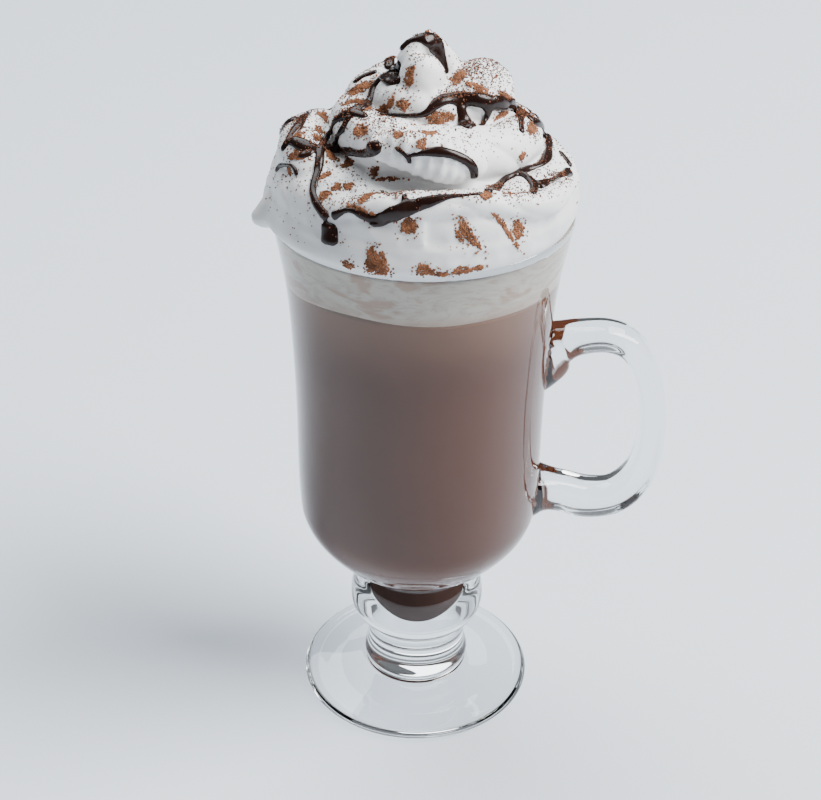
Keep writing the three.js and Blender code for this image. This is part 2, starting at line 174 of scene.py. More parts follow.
# Lines of sauce as places on the cream, with the line's width there
DRIZZLE = [
    [
        (-28.3, 9.4, 168.4, 1), (-29.8, -2.6, 170, 1.9), (-31.8, -6.8, 168.5, 1.7),
        (-32.8, -9.1, 167, 1.4), (-34.5, -8.7, 164.9, 1.4),
    ],
    [
        (-31.9, -7.9, 168.2, 1.9), (-28.8, -11.2, 168, 2.4), (-26.2, -12.4, 167.8, 1.9),
        (-24.2, -12.4, 167.5, 1.4),
    ],
    [(-25.6, -13.2, 167.4, 1.2), (-27.9, -14.2, 166.6, 1.4), (-30.5, -13, 165.7, 1)],
    [
        (-35.4, -8.8, 159.5, 1.2), (-34.9, -7.6, 160.9, 1.2), (-32.5, -12.1, 163.3, 0.7),
        (-30.4, -15.1, 163.9, 0.9), (-29.8, -17.6, 162.1, 1.2),
    ],
    [
        (-5.6, -4.6, 185.8, 1.9), (-7.7, 2.1, 181.3, 3.9), (-8.1, -3.8, 181.8, 3.4),
        (-5.3, -8.8, 182.9, 1.7),
    ],
    [
        (-8.8, 2.9, 180.8, 2.9), (-11.3, 1.8, 179, 2.7), (-12.8, -0.8, 176.6, 2.2),
        (-14.6, -8.1, 176.6, 2.4), (-17.1, -10.1, 176, 2.4), (-19.7, -8.7, 174.1, 1.9),
        (-21.8, -7.3, 171.4, 1.4), (-23.7, -7.6, 168.2, 1.2), (-24.4, -13, 167.3, 1.7),
        (-24.5, -16.4, 165.8, 1.7), (-25.3, -20.6, 163.2, 1.6), (-25.6, -24, 161.4, 1.6),
        (-24.4, -27.8, 159.9, 1.6), (-22.3, -30.3, 158.3, 1.8), (-20.8, -31.2, 157.9, 1.8),
    ],
    [
        (-21.3, -31, 157.8, 2.8), (-21.5, -31.4, 155, 3.4), (-21.6, -32.4, 153.3, 3.7),
        (-21.7, -33, 151.4, 3),
    ],
    [
        (-10.9, 5.9, 180.5, 1), (-14, 5.2, 179.6, 1.2), (-16.1, 4.8, 178.7, 1.2),
        (-17.6, 3.6, 177.4, 1),
    ],
    [(-18.1, -9.4, 175.4, 1.9), (-15.5, -11.7, 176.1, 1.9), (-12.4, -13.6, 176, 1.2)],
    [
        (-16.8, -11.2, 175.9, 1.7), (-18.5, -12.1, 173.8, 1.7), (-20.1, -12.1, 171.1, 1.4),
        (-20.9, -9.3, 167.6, 1.2), (-23.7, -11.7, 167.6, 1.2),
    ],
    [
        (-23.9, -12.1, 167.5, 1.7), (-20.7, -10, 166.4, 1.4), (-17.4, -16.3, 168.5, 1.6),
        (-14.2, -20.1, 169.6, 1.4), (-12.6, -26.2, 172.8, 2.3), (-10.6, -27.4, 174.3, 2.5),
        (-8.7, -27.9, 174.8, 0.9),
    ],
    [
        (-7.4, -28.5, 175, 0.7), (-5.7, -29.6, 174.3, 0.9), (-4.2, -30.1, 173.5, 1.1),
        (-3.5, -30.3, 172.6, 0.9), (-3.4, -30.2, 170.5, 1.4),
    ],
    [
        (-4, -30.1, 173.2, 0.7), (-0.9, -30.9, 174.2, 1.1), (2.5, -30.8, 174.7, 1.8),
        (5.9, -30.7, 174.1, 1.8), (8.8, -30, 172.6, 1.8), (10.8, -29.7, 170.7, 1.8),
        (11.2, -29, 168.6, 1.8), (10.8, -27.7, 166.8, 1.6),
    ],
    [
        (-11.3, -10.5, 175.9, 0.7), (-8, -12.3, 176.2, 0.7), (-4.4, -14.2, 176.7, 0.9),
        (-0.9, -14.7, 177, 1.2), (0.8, -14.7, 178, 1.6), (2.5, -13.5, 179.6, 2.1),
        (5.5, -11.8, 180.1, 2.3), (9.5, -11.4, 180, 2.6), (13.1, -11.1, 179.4, 2.6),
        (16.2, -9.6, 178.4, 2.6), (20.1, -3.9, 176, 2.4), (23, 6.2, 171.9, 1.5),
    ],
    [
        (8.3, -11.8, 179.3, 2.1), (8.3, -12.9, 177.1, 1.9), (9.1, -13.1, 175.1, 2.4),
        (10.6, -17.4, 175.2, 2.8), (11.8, -17.3, 175.1, 1.4),
    ],
    [
        (13.1, -11.2, 179.2, 2.1), (14.7, -10.9, 177.5, 1.9), (14.3, -10.5, 175.3, 1.2),
        (12.1, -16.2, 175, 0.9),
    ],
    [
        (22.9, 5.3, 172, 1.2), (22.7, -4.7, 173.2, 1.2), (22.5, -10.3, 172.6, 1.2),
        (23, -12.2, 171.4, 1.4),
    ],
    [
        (23.2, 4.8, 171.9, 1.5), (25, -3, 172.1, 1.9), (27.7, 0.7, 169.6, 2),
        (30.5, 11.3, 162.8, 1.5), (30.5, 3.3, 163.1, 1.5), (29.2, -5.8, 163.3, 1.9),
        (27.1, -9.8, 163, 1.7), (24.4, -11.7, 162.9, 1.7), (21.1, -16.4, 163.5, 1.7),
        (18.4, -19.3, 163.2, 1.6), (16.2, -24.5, 163.3, 1.9), (13.8, -32.9, 165.7, 1.6),
    ],
    [
        (13.8, -33.1, 165.7, 0.9), (9.4, -34.6, 166, 0.6), (5.5, -35.2, 165.9, 1.1),
        (2.7, -35.9, 165.4, 2), (-0.7, -36.4, 164.5, 2.5), (-4.1, -36.8, 163.5, 2.7),
        (-7.4, -36.5, 161.7, 2.7), (-9.9, -35.5, 160, 2.7), (-11.8, -35, 160.1, 2),
        (-14.3, -34.3, 160.7, 1.4), (-16.3, -33.5, 161.6, 1.1), (-18.3, -32.5, 160.7, 1.1),
        (-20.3, -31.4, 159.1, 1.6), (-21.8, -30.7, 157.9, 1.8),
    ],
    [(-10.4, -35.4, 160.3, 2.9), (-10.4, -35.8, 158.6, 3.4), (-10.3, -36.3, 157.6, 2.7)],
    [(-4.3, -36.7, 163.8, 0.9), (-4.5, -35.2, 165.5, 1.3), (-4.5, -33.4, 166, 1.1)],
    [
        (22.2, -14.6, 163.5, 1.9), (24.5, -18.2, 163, 1.9), (25.4, -21.5, 162.2, 1.6),
        (24.7, -27.7, 163.1, 1.2),
    ],
    [
        (25.7, -20.8, 162.3, 2.6), (28.6, -17.9, 162, 2.1), (31.9, -15.1, 162.6, 1.7),
        (35.4, -5, 160.1, 2.2),
    ],
    [(35.7, -4.3, 159.9, 1.7), (34.5, -2.4, 161.4, 1.5), (32.9, 2.6, 162.2, 1)],
    [
        (-6.3, -1.9, 187.5, 2.2), (-5.1, -1.4, 189.1, 1.7), (-2.9, -1.9, 190.8, 1.4),
        (0.4, -1.7, 190.8, 2.9), (2.3, -0.6, 188.9, 3.1), (3.6, 0.2, 186.1, 1.9),
        (4.6, 0, 183.5, 1.4), (5.3, -1.1, 181.4, 1.2),
    ],
    [(1.1, -10.4, 184.1, 2), (1.5, -10.3, 184.1, 2.4), (1.9, -10.2, 184.1, 2)],
    [
        (-8.9, 5.2, 180.4, 2), (-6.1, 16.7, 177.4, 2), (1.8, 20.2, 169, 1.8),
        (13.2, 22.8, 169.1, 1.8), (24.5, 14.1, 168.3, 1.6), (27.5, 3.9, 169.4, 1.6),
    ],
    [
        (-6.1, 16.7, 177.4, 2), (-10.6, 18.4, 166.8, 1.8), (-23.9, 20.1, 164.6, 1.8),
        (-34.7, 7.4, 163.5, 2), (-30.1, 0, 170.1, 2),
    ],
    [(1.8, 20.2, 169, 2), (5.3, 30.1, 164.3, 2.4), (10.1, 35.2, 158.5, 2.6)],
]
LINE_STEPS = 24  # to each stretch between two points
SAUCE_STEP = 0.6  # smallest distance between two places of a line
SAUCE_SPREAD = 1.4  # the lines are laid this much wider, because smoothing narrows them again
SAUCE_SIDES = 12
SAUCE_VOXEL = 0.0003
SAUCE_SMOOTHING = 3
SAUCE_EVENING = 2  # neighbours on each side over which a place is evened out
SAUCE_ENDS, SAUCE_SWELL = 0.6, 0.2  # share of the width at the end of a line, and its growth a step
SAUCE_WANDER = 0.2  # share by which the width wanders
FULL_WIDTH, THINNEST = 3.6, 0.35  # width at which a line stands high, and the least share of that

# The camera, fitted to the rings of the glass
CAMERA_PLACE = Vector((-0.002509, -0.356912, 0.305359))
CAMERA_TILT = 0.539  # below the horizon, in radians
CAMERA_ROLL = 0.014
CAMERA_LENS = 68.548

# Floor and lights
FLOOR_GAP = 0.00015  # between the floor and the foot
FLOOR_HALF = 4
LIGHTS_AIM = Vector((0, 0, 0.09))
AIR_COLOR = (0.93, 0.965, 1.0)
# Place, size, share of the main light's power and colour of every light
LIGHTS = {
    "main_light": ((1.5, -0.26, 1.73), 1.6, 1.0, (1.0, 0.99, 0.98)),
    "top_light": ((-0.5, 1.06, 2.06), 2.2, 0.43, (0.93, 0.97, 1.0)),
}


# Curves and solids

def spline(points, steps):
    """Returns a smooth line through points, each stretch cut in as many steps."""
    places = [Vector(point) for point in points]
    line = []
    for index in range(len(places) - 1):
        before = places[max(index - 1, 0)]
        start, end = places[index], places[index + 1]
        after = places[min(index + 2, len(places) - 1)]
        for step in range(steps):
            t = step / steps
            bend = 2 * before - 5 * start + 4 * end - after
            turn = 3 * start - before - 3 * end + after
            line.append(start + 0.5 * t * (end - before + t * (bend + t * turn)))
    line.append(places[-1])
    return line


def arc(radius, height, size, start, end, steps):
    """Returns a round edge as points, from one angle to another in degrees."""
    points = []
    for step in range(steps + 1):
        angle = math.radians(start + (end - start) * step / steps)
        points.append(Vector((radius + size * math.cos(angle), height + size * math.sin(angle))))
    return points


def turned(bm, outline, sides):
    """Spins an outline of radius and height about the axis, in millimetres."""
    ring = [bm.verts.new((radius * MM, 0, height * MM)) for radius, height in outline]
    edges = [bm.edges.new(pair) for pair in zip(ring, ring[1:])]
    bmesh.ops.spin(
        bm, geom=ring + edges, cent=(0, 0, 0), axis=UP, angle=math.tau, steps=sides, use_merge=True
    )
    bmesh.ops.remove_doubles(bm, verts=bm.verts, dist=1e-6)


def place_matrix(middle, across, up, half_width, half_height):
    """Returns the matrix that lays a unit circle across a strand at a place."""
    along = across.cross(up)
    matrix = Matrix((across * half_width, up * half_height, along)).transposed().to_4x4()
    matrix.translation = middle
    return matrix


def strand(bm, matrices, sides, squareness=2.0):
    """Extrudes a closed tube through places given as matrices. At 2 its section is round."""
    verts = bmesh.ops.create_circle(bm, segments=sides, radius=1.0)["verts"]
    for vert in verts:
        x, y = abs(vert.co.x), abs(vert.co.y)
        vert.co *= 1 / (x**squareness + y**squareness) ** (1 / squareness)
    bmesh.ops.transform(bm, matrix=matrices[0], verts=verts)
    first = ring = list({edge for vert in verts for edge in vert.link_edges})
    for before, after in zip(matrices, matrices[1:]):
        made = bmesh.ops.extrude_edge_only(bm, edges=ring)["geom"]
        ring = [part for part in made if isinstance(part, bmesh.types.BMEdge)]
        verts = [part for part in made if isinstance(part, bmesh.types.BMVert)]
        bmesh.ops.transform(bm, matrix=after @ before.inverted(), verts=verts)
    bmesh.ops.contextual_create(bm, geom=first)
    bmesh.ops.contextual_create(bm, geom=ring)


def new_object(name, bm):
    """Makes an object of a bmesh, in place."""
    mesh = bpy.data.meshes.new(name)
    bm.to_mesh(mesh)
    bm.free()
    made = bpy.data.objects.new(name, mesh)
    bpy.context.scene.collection.objects.link(made)
    return made


def new_piece(name, bm, material, replaced):
    """Makes a visible piece that rides on the one body and can replace a node of the model."""
    piece = new_object(name, bm)
    piece.data.materials.append(material)
    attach(piece, "root")
    if replaced:
        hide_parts(replaced)
    return piece


def finish(piece, modifiers):
    """Adds modifiers to a piece and applies them in order."""
    for kind, settings in modifiers:
        modifier = piece.modifiers.new(kind.title(), kind)
        for name, value in settings.items():
            setattr(modifier, name, value)
    bpy.context.view_layer.objects.active = piece
    with bpy.context.temp_override(object=piece, active_object=piece, selected_objects=[piece]):
        for modifier in list(piece.modifiers):
            bpy.ops.object.modifier_apply(modifier=modifier.name)


def shade_smooth(piece):
    for polygon in piece.data.polygons:
        polygon.use_smooth = True


# Shaders

class Value:
    """A number that a shader works out. An expression on values adds its Math nodes."""

    def __init__(self, shader, socket):
        self.shader = shader
        self.socket = socket

    def math(self, operation, *values):
        inputs = dict(enumerate(values))
        made = self.shader.node("ShaderNodeMath", {"operation": operation}, inputs)
        return Value(self.shader, made.outputs[0])

    def __add__(self, other):
        return self.math("ADD", self, other)

    __radd__ = __add__

    def __sub__(self, other):
        return self.math("SUBTRACT", self, other)

    def __rsub__(self, other):
        return self.math("SUBTRACT", other, self)

    def __mul__(self, other):
        return self.math("MULTIPLY", self, other)

    __rmul__ = __mul__

    def held(self, low, high):
        """Rises from 0 to 1 as the value goes from low to high."""
        inputs = {"Value": self, "From Min": low, "From Max": high}
        made = self.shader.node("ShaderNodeMapRange", {"interpolation_type": "SMOOTHSTEP"}, inputs)
        return Value(self.shader, made.outputs[0])


class Shader:
    """The node tree of a new material."""

    def __init__(self, name):
        self.material = bpy.data.materials.new(name)
        self.material.use_nodes = True
        self.tree = self.material.node_tree
        self.surface = self.tree.nodes["Principled BSDF"]
        self.output = self.tree.nodes["Material Output"]
        self.object = self.node("ShaderNodeTexCoord").outputs["Object"]

    def node(self, kind, settings=None, inputs=None):
        """Adds a node: its settings first, then its sockets."""
        made = self.tree.nodes.new(kind)
        for name, value in (settings or {}).items():
            setattr(made, name, value)
        for name, value in (inputs or {}).items():
            self.feed(made.inputs[name], value)
        return made

    def feed(self, socket, value):
        if isinstance(value, Value):
            value = value.socket
        if isinstance(value, bpy.types.NodeSocket):
            self.tree.links.new(value, socket)
        elif socket.type == "RGBA":
            socket.default_value = (*value, 1.0)
        else:
            socket.default_value = value

    def finish(self, **inputs):
        """Feeds the surface's sockets, named in lower case."""
        sockets = {socket.name.lower().replace(" ", "_"): socket for socket in self.surface.inputs}
        for name, value in inputs.items():
            self.feed(sockets[name], value)
        return self.material

    def stretched(self, scale):
        inputs = {"Vector": self.object, "Scale": scale}
        return self.node("ShaderNodeMapping", {}, inputs).outputs[0]

    def noise(self, scale, detail=3.0, roughness=0.5, distortion=0.0, vector=None):
        inputs = {
            "Vector": vector or self.object, "Scale": scale, "Detail": detail,
            "Roughness": roughness, "Distortion": distortion,
        }
        return Value(self, self.node("ShaderNodeTexNoise", {}, inputs).outputs["Fac"])

    def height(self):
        made = self.node("ShaderNodeSeparateXYZ", {}, {0: self.object})
        return Value(self, made.outputs["Z"])

    def mix(self, share, first, second):
        """Mixes two colours, the second by its share."""
        made = self.node("ShaderNodeMix", {"data_type": "RGBA"}, {"Factor": share})
        self.feed(made.inputs[6], first)
        self.feed(made.inputs[7], second)
        return made.outputs[2]

    def bump(self, height, strength, distance):
        inputs = {"Height": height, "Strength": strength, "Distance": distance}
        return self.node("ShaderNodeBump", {}, inputs).outputs[0]


def shade(color, share):
    """Returns a colour made darker or paler by a share."""
    return tuple(part * share for part in color)


# Settings

def color_property(name, description, default):
    return bpy.props.FloatVectorProperty(
        name=name, description=description, default=default, size=3, min=0, max=1, subtype="COLOR"
    )


def length_property(name, description, default):
    return bpy.props.FloatProperty(
        name=name, description=description, default=default, min=0, subtype="DISTANCE", unit="LENGTH"
    )


class GlassSettings(bpy.types.PropertyGroup):
    tint: color_property("Tint", "Tint of the clear glass", (0.94, 0.96, 0.97))
    waviness: length_property("Waviness", "Depth of the slight waves of pressed glass", 0.00008)


class DrinkSettings(bpy.types.PropertyGroup):
    color: color_property("Drink", "Colour of the hot chocolate", (0.058, 0.0165, 0.0066))
    pale: color_property("Pale drink", "Colour under the melted cream", (0.13, 0.062, 0.037))
    # painted shade: a darker colour for the drink down in the knob, where less light reaches
    well_shade: color_property("Well", "Colour of the drink down in the knob", (0.042, 0.022, 0.0175))
    melt: color_property("Melted cream", "Colour of the melted cream", (0.38, 0.345, 0.295))
    streak: color_property("Streaks", "Colour of the cocoa streaks in it", (0.27, 0.165, 0.115))


class CreamSettings(bpy.types.PropertyGroup):
    color: color_property("Cream", "Colour of the whipped cream", (0.86, 0.86, 0.86))
    voxel: length_property("Fineness", "Size of the smallest fold of the cream", 0.0006)
    folds: length_property("Folds", "Depth of the soft folds on the cream", 0.0005)
    creases: length_property("Creases", "Depth of the creases that the nozzle leaves", 0.0006)


class SauceSettings(bpy.types.PropertyGroup):
    color: color_property("Sauce", "Colour of the chocolate sauce", (0.01, 0.0035, 0.0022))
    height: length_property("Height", "How far the sauce stands on the cream", 0.0009)


class CocoaSettings(bpy.types.PropertyGroup):
    color: color_property("Cocoa", "Colour of the heaps of cocoa", (0.3, 0.125, 0.062))
    specks: color_property("Specks", "Colour of the fine grains", (0.19, 0.075, 0.04))
    grains: bpy.props.IntProperty(
        name="Grains", description="How many fine grains lie on the cream", default=8600, min=0
    )
    grain: length_property("Grain size", "Half width of a coarse grain", 0.00023)


class StageSettings(bpy.types.PropertyGroup):
    floor: color_property("Floor", "Colour of the floor", (0.66, 0.715, 0.785))
    light: bpy.props.FloatProperty(
        name="Light", description="Power of the main light", default=155.0, min=0, subtype="POWER"
    )
    fill: bpy.props.FloatProperty(
        name="Surrounding light", description="Strength of the light from all round", default=0.14, min=0
    )


SETTINGS = {
    "hot_chocolate_glass": GlassSettings,
    "hot_chocolate_drink": DrinkSettings,
    "hot_chocolate_cream": CreamSettings,
    "hot_chocolate_sauce": SauceSettings,
    "hot_chocolate_cocoa": CocoaSettings,
    "hot_chocolate_stage": StageSettings,
}


# Glass

def glass_material(settings):
    shader = Shader("clear_glass")
    waves = shader.noise(60, 2.0)
    smears = shader.noise(140, 4.0, distortion=0.6)
    material = shader.finish(
        base_color=settings.tint,
        roughness=0.03 * smears.held(0.45, 0.8),
        ior=1.5,
        transmission_weight=1.0,
        normal=shader.bump(waves, 0.4, settings.waviness),
    )
    through = shader.node("ShaderNodeBsdfTransparent", {}, {"Color": THROUGH_TINT}).outputs[0]
    paths = shader.node("ShaderNodeLightPath").outputs
    mixed = shader.surface.outputs[0]
    for ray in ("Is Shadow Ray", "Is Diffuse Ray"):
        sides = {0: paths[ray], 1: mixed, 2: through}
        mixed = shader.node("ShaderNodeMixShader", {}, sides).outputs[0]
    shader.feed(shader.output.inputs["Surface"], mixed)
    return material


def wall_outline():
    """Returns the closed outline of the glass from the axis under the foot to the axis inside."""
    return [
        *spline([*FOOT_UNDER, *FOOT_EDGE, *FOOT_TOP], GLASS_STEPS),
        *spline(STEM, GLASS_STEPS),
        *spline(BOWL, GLASS_STEPS),
        *arc(RIM_RADIUS - LIP_RADIUS, RIM_HEIGHT - LIP_RADIUS, LIP_RADIUS, *LIP_ARC, LIP_STEPS),
        *spline(INSIDE, GLASS_STEPS),
    ]


def inner_radius(height):
    """Returns the inner radius of the glass at a height, in millimetres."""
    line = spline(INSIDE, GLASS_STEPS)
    for above, below in zip(line, line[1:]):
        if height >= below.y:
            share = (height - below.y) / max(above.y - below.y, 1e-9)
            return below.x + (above.x - below.x) * share
    return 0.0


def handle_matrices():
    """Returns the places of the strap, which is wider where it meets the bowl."""
    line = spline([(x, 0, z) for x, z, _ in HANDLE], STRAP_STEPS)
    thicknesses = spline([(thickness, 0) for _, _, thickness in HANDLE], STRAP_STEPS)
    sideways = Vector((0, 1, 0))
    matrices = []
    for index, (point, thickness) in enumerate(zip(line, thicknesses)):
        before = line[max(index - 1, 0)]
        after = line[min(index + 1, len(line) - 1)]
        along = (after - before).normalized()
        near = min(max(0.0, 1 - (point.x - FLARE_FROM) / FLARE_LENGTH), FLARE_LIMIT)
        half_width = (STRAP_WIDTH + STRAP_FLARE * near**2) / 2
        up = along.cross(sideways)
        matrices.append(
            place_matrix(point * MM, sideways, up, half_width * MM, thickness.x / 2 * MM)
        )
    return matrices


class HOTCHOCOLATE_OT_glass(bpy.types.Operator):
    """Make the footed mug with its strap handle out of clear glass"""

    bl_idname = "hot_chocolate.glass"
    bl_label = "Glass Mug"

    def execute(self, context):
        material = glass_material(context.scene.hot_chocolate_glass)
        bm = bmesh.new()
        turned(bm, wall_outline(), GLASS_ROUND)
        bmesh.ops.recalc_face_normals(bm, faces=bm.faces)
        mug = new_piece("clear_mug", bm, material, "glass_mug")

        bm = bmesh.new()
        strand(bm, handle_matrices(), STRAP_SIDES, STRAP_SQUARENESS)
        bmesh.ops.recalc_face_normals(bm, faces=bm.faces)
        strap = new_object("strap", bm)
        bm = bmesh.new()
        turned(bm, [*reversed(spline(INSIDE, GLASS_STEPS)), Vector((0, RIM_HEIGHT))], GLASS_ROUND)
        bmesh.ops.scale(bm, vec=(HOLLOW_SPREAD, HOLLOW_SPREAD, 1), verts=bm.verts)
        bmesh.ops.recalc_face_normals(bm, faces=bm.faces)
        hollow = new_object("hollow", bm)
        cut = {"operation": "DIFFERENCE", "solver": "EXACT", "object": hollow}
        finish(strap, [("BOOLEAN", cut)])
        join = {"operation": "UNION", "solver": "EXACT", "object": strap}
        finish(mug, [("BOOLEAN", join)])
        for helper in (strap, hollow):
            bpy.data.objects.remove(helper)
        shade_smooth(mug)
        finish(mug, [("WEIGHTED_NORMAL", {"keep_sharp": True, "weight": 100})])
        return {"FINISHED"}


# What fills the glass

def wave(angle):
    """Returns how far the drink's level rises at an angle, in millimetres."""
    return sum(size * math.sin(count * angle + math.radians(turn)) for count, size, turn in WAVES)


def filling(bm, bottom, top, wavy_edge):
    """Spins what fills the glass between two heights, with one level that wanders."""
    wall = [
        Vector((max(point.x + INTO_WALL, 0), point.y))
        for point in reversed(spline(INSIDE, GLASS_STEPS))
        if bottom < point.y < top
    ]
    low = inner_radius(bottom) + INTO_WALL if bottom > INSIDE[-1][1] else 0.0
    high = inner_radius(top) + INTO_WALL
    floor = [Vector((share * low, bottom)) for share in (0, 0.5)] if low else [Vector((0, bottom))]
    level = [Vector((share * high, top)) for share in (1, 0.75, 0.5, 0.25, 0)]
    rim = [Vector((low, bottom))] if low else []
    turned(bm, [*floor, *rim, *wall, *level], GLASS_ROUND)
    for vert in bm.verts:
        if abs(vert.co.z / MM - wavy_edge) < LEVEL_FOUND:
            reach = math.hypot(vert.co.x, vert.co.y) / (inner_radius(wavy_edge) * MM)
            vert.co.z += wave(math.atan2(vert.co.y, vert.co.x)) * reach * MM
    bmesh.ops.recalc_face_normals(bm, faces=bm.faces)


def drink_material(settings):
    shader = Shader("hot_chocolate")
    height = shader.height()
    clouds = shader.noise(22, 3.0, distortion=0.8)
    pale = (height + 0.010 * (clouds - 0.5)).held(*DRINK_PALE)
    mottled = shader.mix(clouds.held(0.3, 0.75), settings.color, shade(settings.color, 1.12))
    color = shader.mix(pale, mottled, settings.pale)
    # painted light: the drink is made paler low in the bowl
    low = 1 - (height + 0.006 * (clouds - 0.5)).held(*DRINK_LIT_LOW)
    color = shader.mix(low * 0.7, color, shade(settings.color, 1.7))
    # painted shade: below the well's edge the drink takes the darker colour of the knob
    color = shader.mix(1 - height.held(*WELL_SHADE_EDGE), color, settings.well_shade)
    return shader.finish(base_color=color, roughness=0.7, specular_ior_level=0.0)


def melt_material(settings):
    shader = Shader("melted_cream")
    height = shader.height()
    level = shader.stretched((1, 1, 3.0))
    swirls = shader.noise(30, 4.0, 0.55, distortion=2.4, vector=level)
    veins = shader.noise(75, 3.0, 0.6, distortion=3.0, vector=level)
    off_middle = swirls - 0.5
    wisps = 1 - off_middle.math("ABSOLUTE", off_middle).held(0.0, 0.035)
    streaks = swirls.held(0.55, 0.66) * 0.75 + wisps * 0.35 * veins.held(0.45, 0.6)
    cream = shader.mix(veins.held(0.42, 0.62), settings.melt, shade(settings.melt, 0.86))
    color = shader.mix(streaks, cream, settings.streak)
    low = 1 - (height + 0.008 * off_middle).held(*MELT_MARBLED)
    color = shader.mix(low * 0.65, color, settings.streak)
    return shader.finish(base_color=color, roughness=0.7, specular_ior_level=0.0)


class HOTCHOCOLATE_OT_drink(bpy.types.Operator):
    """Fill the glass with hot chocolate and the band of melted cream over it"""

    bl_idname = "hot_chocolate.drink"
    bl_label = "Drink and Melted Cream"

    def execute(self, context):
        settings = context.scene.hot_chocolate_drink
        bm = bmesh.new()
        filling(bm, INSIDE[-1][1] - INTO_WALL, DRINK_LEVEL, DRINK_LEVEL)
        material = drink_material(settings)
        drink = new_piece("chocolate_drink", bm, material, "hot_chocolate")
        shade_smooth(drink)
        bm = bmesh.new()
        filling(bm, DRINK_LEVEL + MELT_GAP, MELT_LEVEL, DRINK_LEVEL + MELT_GAP)
        material = melt_material(settings)
        band = new_piece("melted_band", bm, material, "melted_cream")
        shade_smooth(band)
        return {"FINISHED"}


# Whipped cream

def swirl_matrices():
    """Returns the places of the rope of cream that winds up round the core."""
    turns = (len(COILS) - 1) / 2
    sizes = spline(COILS, COIL_STEPS)
    matrices = []
    for step, (outermost, height, half_width) in enumerate(sizes):
        angle = -math.pi / 2 - math.tau * turns * step / (len(sizes) - 1)
        outward = Vector((math.cos(angle), math.sin(angle), 0))
        middle = outward * (outermost - half_width) + UP * height
        matrices.append(place_matrix(middle * MM, outward, UP, half_width * MM, half_width * MM))
    return matrices


def lobe_matrices(points, ribs):
    """Returns the places of a lobe of cream, across which the nozzle can leave ribs."""
    places = spline(points, LOBE_STEPS)
    matrices = []
    for index, (x, y, z, half_width) in enumerate(places):
        half_width *= 1 + ribs * math.sin(math.tau * index / RIB_STEPS)
        before = Vector(places[max(index - 1, 0)][:3])
        after = Vector(places[min(index + 1, len(places) - 1)][:3])
        along = (after - before).normalized()
        across = Vector((along.y, -along.x, 0.001)).normalized()
        up = along.cross(across)
        middle = Vector((x, y, z)) * MM
        matrices.append(place_matrix(middle, across, up, half_width * MM, half_width * MM))
    return matrices


def core(bm):
    """Spins the core of the cream, which spills over the rim on one side."""
    plug = [
        Vector((point.x + INTO_WALL, point.y))
        for point in reversed(spline(INSIDE, GLASS_STEPS))
        if point.y > MELT_LEVEL
    ]
    low = [Vector((0, MELT_LEVEL)), Vector((inner_radius(MELT_LEVEL) + INTO_WALL, MELT_LEVEL))]
    turned(bm, [*low, *plug, *spline(CORE, CORE_STEPS)], CORE_ROUND)
    for vert in bm.verts:
        x, y, z = vert.co / MM
        if z < CORE[0][1] or not (x or y):
            continue
        near_rim = max(0.0, 1 - abs(z - RIM_HEIGHT) / SPILL_DEPTH)
        reach = near_rim * SPILL * math.cos(math.atan2(y, x) - math.radians(SPILL_ANGLE))
        vert.co.xy *= 1 + reach / math.hypot(x, y)


def cream_material(settings):
    shader = Shader("whipped_cream")
    grain = shader.noise(420, 5.0, 0.6)
    soft = shader.noise(90, 3.0)
    dust = shader.noise(60, 4.0, 0.65, distortion=0.5)
    height = shader.height()
    stain = dust.held(0.62, 0.8) * height.held(*CREAM_DUSTED) * 0.35
    white = shader.mix(soft.held(0.3, 0.7), settings.color, shade(settings.color, 0.96))
    # painted shade: the cream is greyer low down, where its lower folds face away from the light
    low = 1 - (height + 0.004 * (dust - 0.5)).held(*CREAM_SHADED_LOW)
    white = shader.mix(low, white, shade(settings.color, 0.84))
    color = shader.mix(stain, white, COCOA_STAIN)
    return shader.finish(
        base_color=color,
        roughness=0.38 + 0.2 * soft,
        subsurface_weight=0.3,
        subsurface_radius=(1.0, 0.9, 0.8),
        subsurface_scale=0.0012,
        normal=shader.bump(grain, 0.25, 0.0002),
    )


def smooth(bm, verts, passes):
    for _ in range(passes):
        bmesh.ops.smooth_vert(
            bm, verts=verts, factor=0.5, use_axis_x=True, use_axis_y=True, use_axis_z=True
        )


def surface_shift(place, folds, creases):
    """Returns how far soft folds and the nozzle's creases move a place of the cream."""
    fold = noise.noise(place * 130) + 0.5 * noise.noise(place * 300)
    turn = math.atan2(place.y, place.x)
    sweep = turn * CREASE_TURNS + place.z * CREASE_CLIMB + CREASE_WANDER * noise.noise(place * 60)
    height = place.z / MM
    crease = abs(math.sin(sweep)) ** 0.6 - 0.7
    crease *= min(max((height - CREASES_FROM) / CREASES_RISE, FAINTEST_LOW), 1)
    crease *= min(max((CREASES_TO - height) / CREASES_FALL, FAINTEST_HIGH), 1)
    share = min((height - CREAM_FOOT) / FADE_IN, 1)
    return (fold * folds + crease * creases) * share


